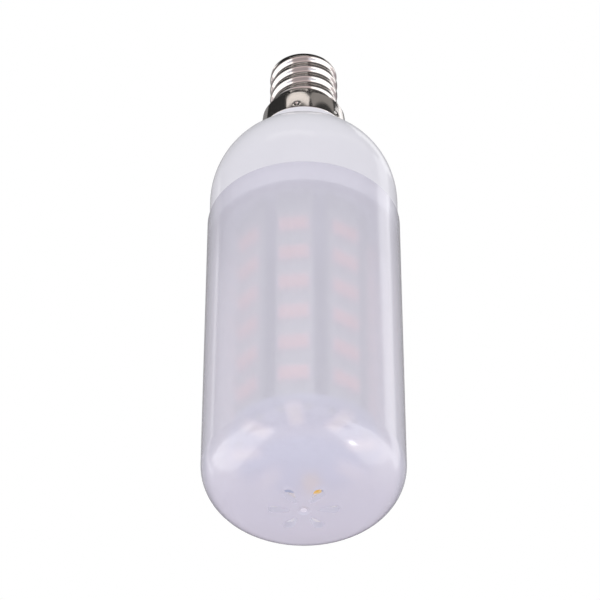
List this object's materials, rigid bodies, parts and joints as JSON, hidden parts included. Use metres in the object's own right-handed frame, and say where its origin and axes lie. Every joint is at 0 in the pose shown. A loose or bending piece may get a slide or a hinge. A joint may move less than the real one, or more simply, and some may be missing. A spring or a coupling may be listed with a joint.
{
  "type": "corn led bulb",
  "caption": "Corn LED bulb: small screw cap, white domed driver housing, and a frosted cylindrical cover with petal vents round a barrel of LED boards.",
  "frame": {"origin": "on the axis, where the thread of the cap meets its collar", "axes": "+Z along the axis towards the tip contact, so that the bulb hangs cap up; -Y through the middle of the first LED strip"},
  "size_m": [0.0376, 0.0376, 0.1133],
  "materials": {
    "nickel": "polished nickel plate",
    "cap_black": "glossy black insulator",
    "tin": "tinned",
    "housing_white": "glossy white moulding",
    "cover_frost": "frosted, translucent",
    "board_white": "white solder mask",
    "led_case": "matte white",
    "phosphor": "satin yellow fill",
    "driver_board": "green solder mask",
    "film_case": "moulded box",
    "can_sleeve": "shrink sleeve",
    "chip_black": "moulded",
    "resistor_body": "coated",
    "lead_sleeve": "insulated lead"
  },
  "bodies": {
    "root": {"base_board": "driver_board", "bleed_resistor": "chip_black", "bridge_rectifier": "chip_black", "cap_insulator": "cap_black", "centre_contact": "tin", "cover": "cover_frost", "end_board": "board_white", "end_leds": "led_case", "end_phosphor": "phosphor", "film_capacitor": "film_case", "fuse_resistor": "resistor_body", "housing": "housing_white", "led_strip_1": "board_white", "led_strip_2": "board_white", "led_strip_3": "board_white", "led_strip_4": "board_white", "led_strip_5": "board_white", "led_strip_6": "board_white", "led_strip_7": "board_white", "led_strip_8": "board_white", "live_wire": "lead_sleeve", "neutral_wire": "lead_sleeve", "screw_shell": "nickel", "smoothing_capacitor": "can_sleeve", "strip_leds_1": "led_case", "strip_leds_2": "led_case", "strip_leds_3": "led_case", "strip_leds_4": "led_case", "strip_leds_5": "led_case", "strip_leds_6": "led_case", "strip_leds_7": "led_case", "strip_leds_8": "led_case", "strip_phosphor_1": "phosphor", "strip_phosphor_2": "phosphor", "strip_phosphor_3": "phosphor", "strip_phosphor_4": "phosphor", "strip_phosphor_5": "phosphor", "strip_phosphor_6": "phosphor", "strip_phosphor_7": "phosphor", "strip_phosphor_8": "phosphor"}
  },
  "joints": []
}
